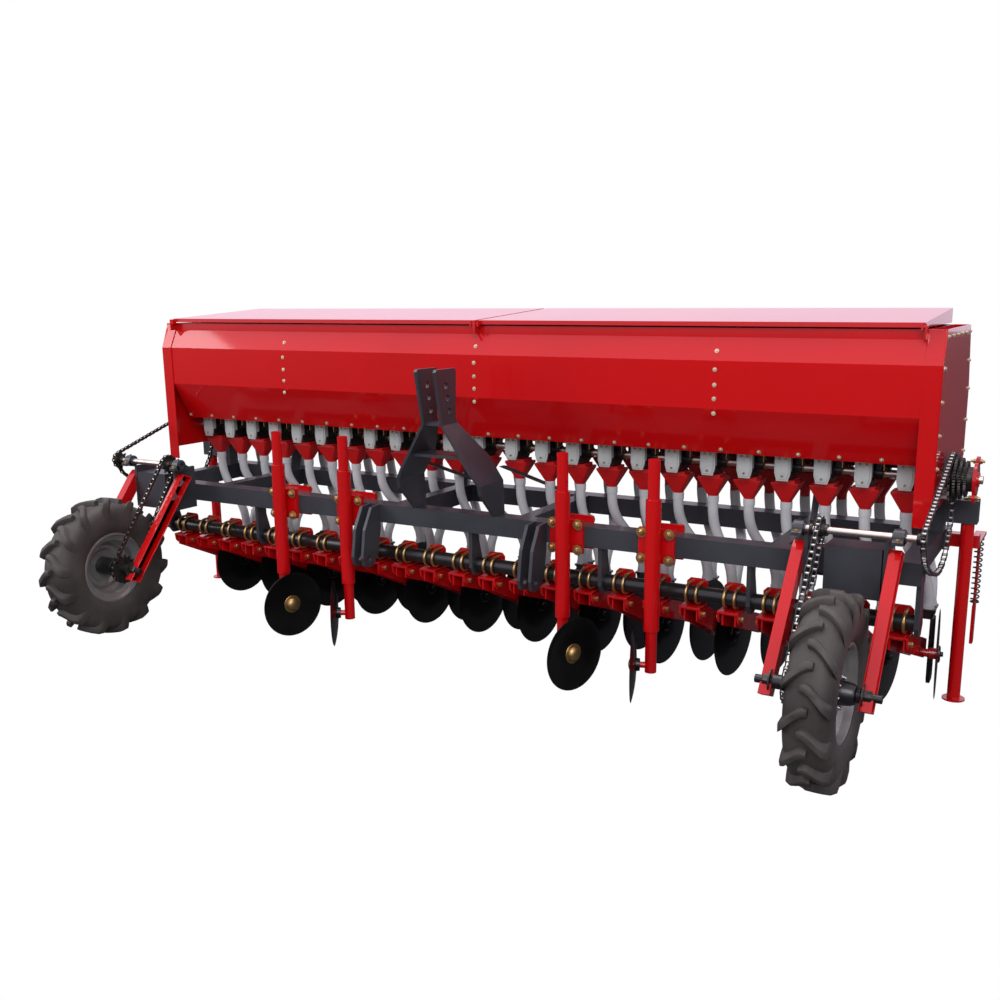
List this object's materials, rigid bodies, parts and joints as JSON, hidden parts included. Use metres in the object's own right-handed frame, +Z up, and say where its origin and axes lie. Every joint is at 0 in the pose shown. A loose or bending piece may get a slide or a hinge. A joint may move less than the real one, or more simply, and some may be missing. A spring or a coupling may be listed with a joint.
{
  "type": "seed drill",
  "caption": "Mounted grain drill with a full-width seed hopper, single-disc openers on a cross bar and two chain-driven land wheels.",
  "frame": {"origin": "on the ground, at the middle of the machine's width and of its length from front to back", "axes": "+Z up; +X across the working width, to the right seen from the tractor side; -Y is the front, where the hitch and the land wheels are"},
  "size_m": [3.98, 1.677, 1.483],
  "materials": {
    "red_paint": "gloss",
    "frame_paint": "satin",
    "black_paint": "gloss",
    "tyre_rubber": "matte",
    "rim_silver": "satin",
    "tube_plastic": "satin",
    "box_plastic": "satin",
    "red_plastic": "satin",
    "zinc_yellow": "satin",
    "bright_steel": "satin",
    "chain_steel": "satin"
  },
  "bodies": {
    "root": {"front_beam": "frame_paint", "rear_beam": "frame_paint", "frame_rails": "frame_paint", "opener_bar": "black_paint", "bar_hangers": "frame_paint", "top_hitch": "frame_paint", "hitch_braces": "frame_paint", "lower_hitch": "frame_paint", "wheel_brackets": "frame_paint", "wheel_arms": "red_paint", "countershafts": "bright_steel", "pillow_blocks": "frame_paint", "hopper_shell": "red_paint", "hopper_ends": "red_paint", "lid_hinges": "red_paint", "metering_boxes": "box_plastic", "seed_funnels": "red_plastic", "opener_discs": "black_paint", "opener_boots": "black_paint", "opener_arms": "red_paint", "opener_clamps": "red_paint", "u_bolts": "zinc_yellow", "seed_tubes": "tube_plastic", "leg_sleeves": "red_paint", "leg_posts": "red_paint", "stand_brackets": "frame_paint", "wheel_chains": "chain_steel", "hopper_chains": "chain_steel", "sprockets": "chain_steel", "end_drives": "chain_steel", "metering_shaft": "bright_steel", "hopper_supports": "frame_paint", "rear_holders": "red_paint", "rear_springs": "bright_steel"},
    "wheel_left": {"tyre_left": "tyre_rubber", "rim_left": "rim_silver"},
    "wheel_right": {"tyre_right": "tyre_rubber", "rim_right": "rim_silver"},
    "lid_left": {"lid_left": "red_paint"},
    "lid_right": {"lid_right": "red_paint"},
    "stand_left": {"stand_left": "red_paint"},
    "stand_right": {"stand_right": "red_paint"},
    "loosener_a": {"loosener_disc_a": "black_paint"},
    "loosener_b": {"loosener_disc_b": "black_paint"},
    "loosener_c": {"loosener_disc_c": "black_paint"},
    "loosener_d": {"loosener_disc_d": "black_paint"}
  },
  "joints": [
    {"name": "wheel_left_spin", "type": "hinge", "parent": "root", "child": "wheel_left", "pos_m": [-1.672, -0.521, 0.32], "axis": [1, 0, 0], "continuous": true},
    {"name": "lid_left_hinge", "type": "hinge", "parent": "root", "child": "lid_left", "pos_m": [0, 0.103, 1.428], "axis": [1, 0, 0], "range_deg": [0, 100]},
    {"name": "stand_left_slide", "type": "slide", "parent": "root", "child": "stand_left", "axis": [0, 0, 1], "range_m": [0, 0.3]},
    {"name": "wheel_right_spin", "type": "hinge", "parent": "root", "child": "wheel_right", "pos_m": [1.672, -0.521, 0.32], "axis": [1, 0, 0], "continuous": true},
    {"name": "lid_right_hinge", "type": "hinge", "parent": "root", "child": "lid_right", "pos_m": [0, 0.103, 1.428], "axis": [1, 0, 0], "range_deg": [0, 100]},
    {"name": "stand_right_slide", "type": "slide", "parent": "root", "child": "stand_right", "axis": [0, 0, 1], "range_m": [0, 0.3]},
    {"name": "loosener_a_spin", "type": "hinge", "parent": "root", "child": "loosener_a", "pos_m": [-0.919, -0.14, 0.152], "axis": [0.9455, -0.3256, 0], "continuous": true},
    {"name": "loosener_b_spin", "type": "hinge", "parent": "root", "child": "loosener_b", "pos_m": [-0.539, -0.14, 0.152], "axis": [-0.829, -0.5592, 0], "continuous": true},
    {"name": "loosener_c_spin", "type": "hinge", "parent": "root", "child": "loosener_c", "pos_m": [0.539, -0.14, 0.152], "axis": [0.9397, -0.342, 0], "continuous": true},
    {"name": "loosener_d_spin", "type": "hinge", "parent": "root", "child": "loosener_d", "pos_m": [0.919, -0.14, 0.152], "axis": [-0.9397, -0.342, 0], "continuous": true}
  ]
}
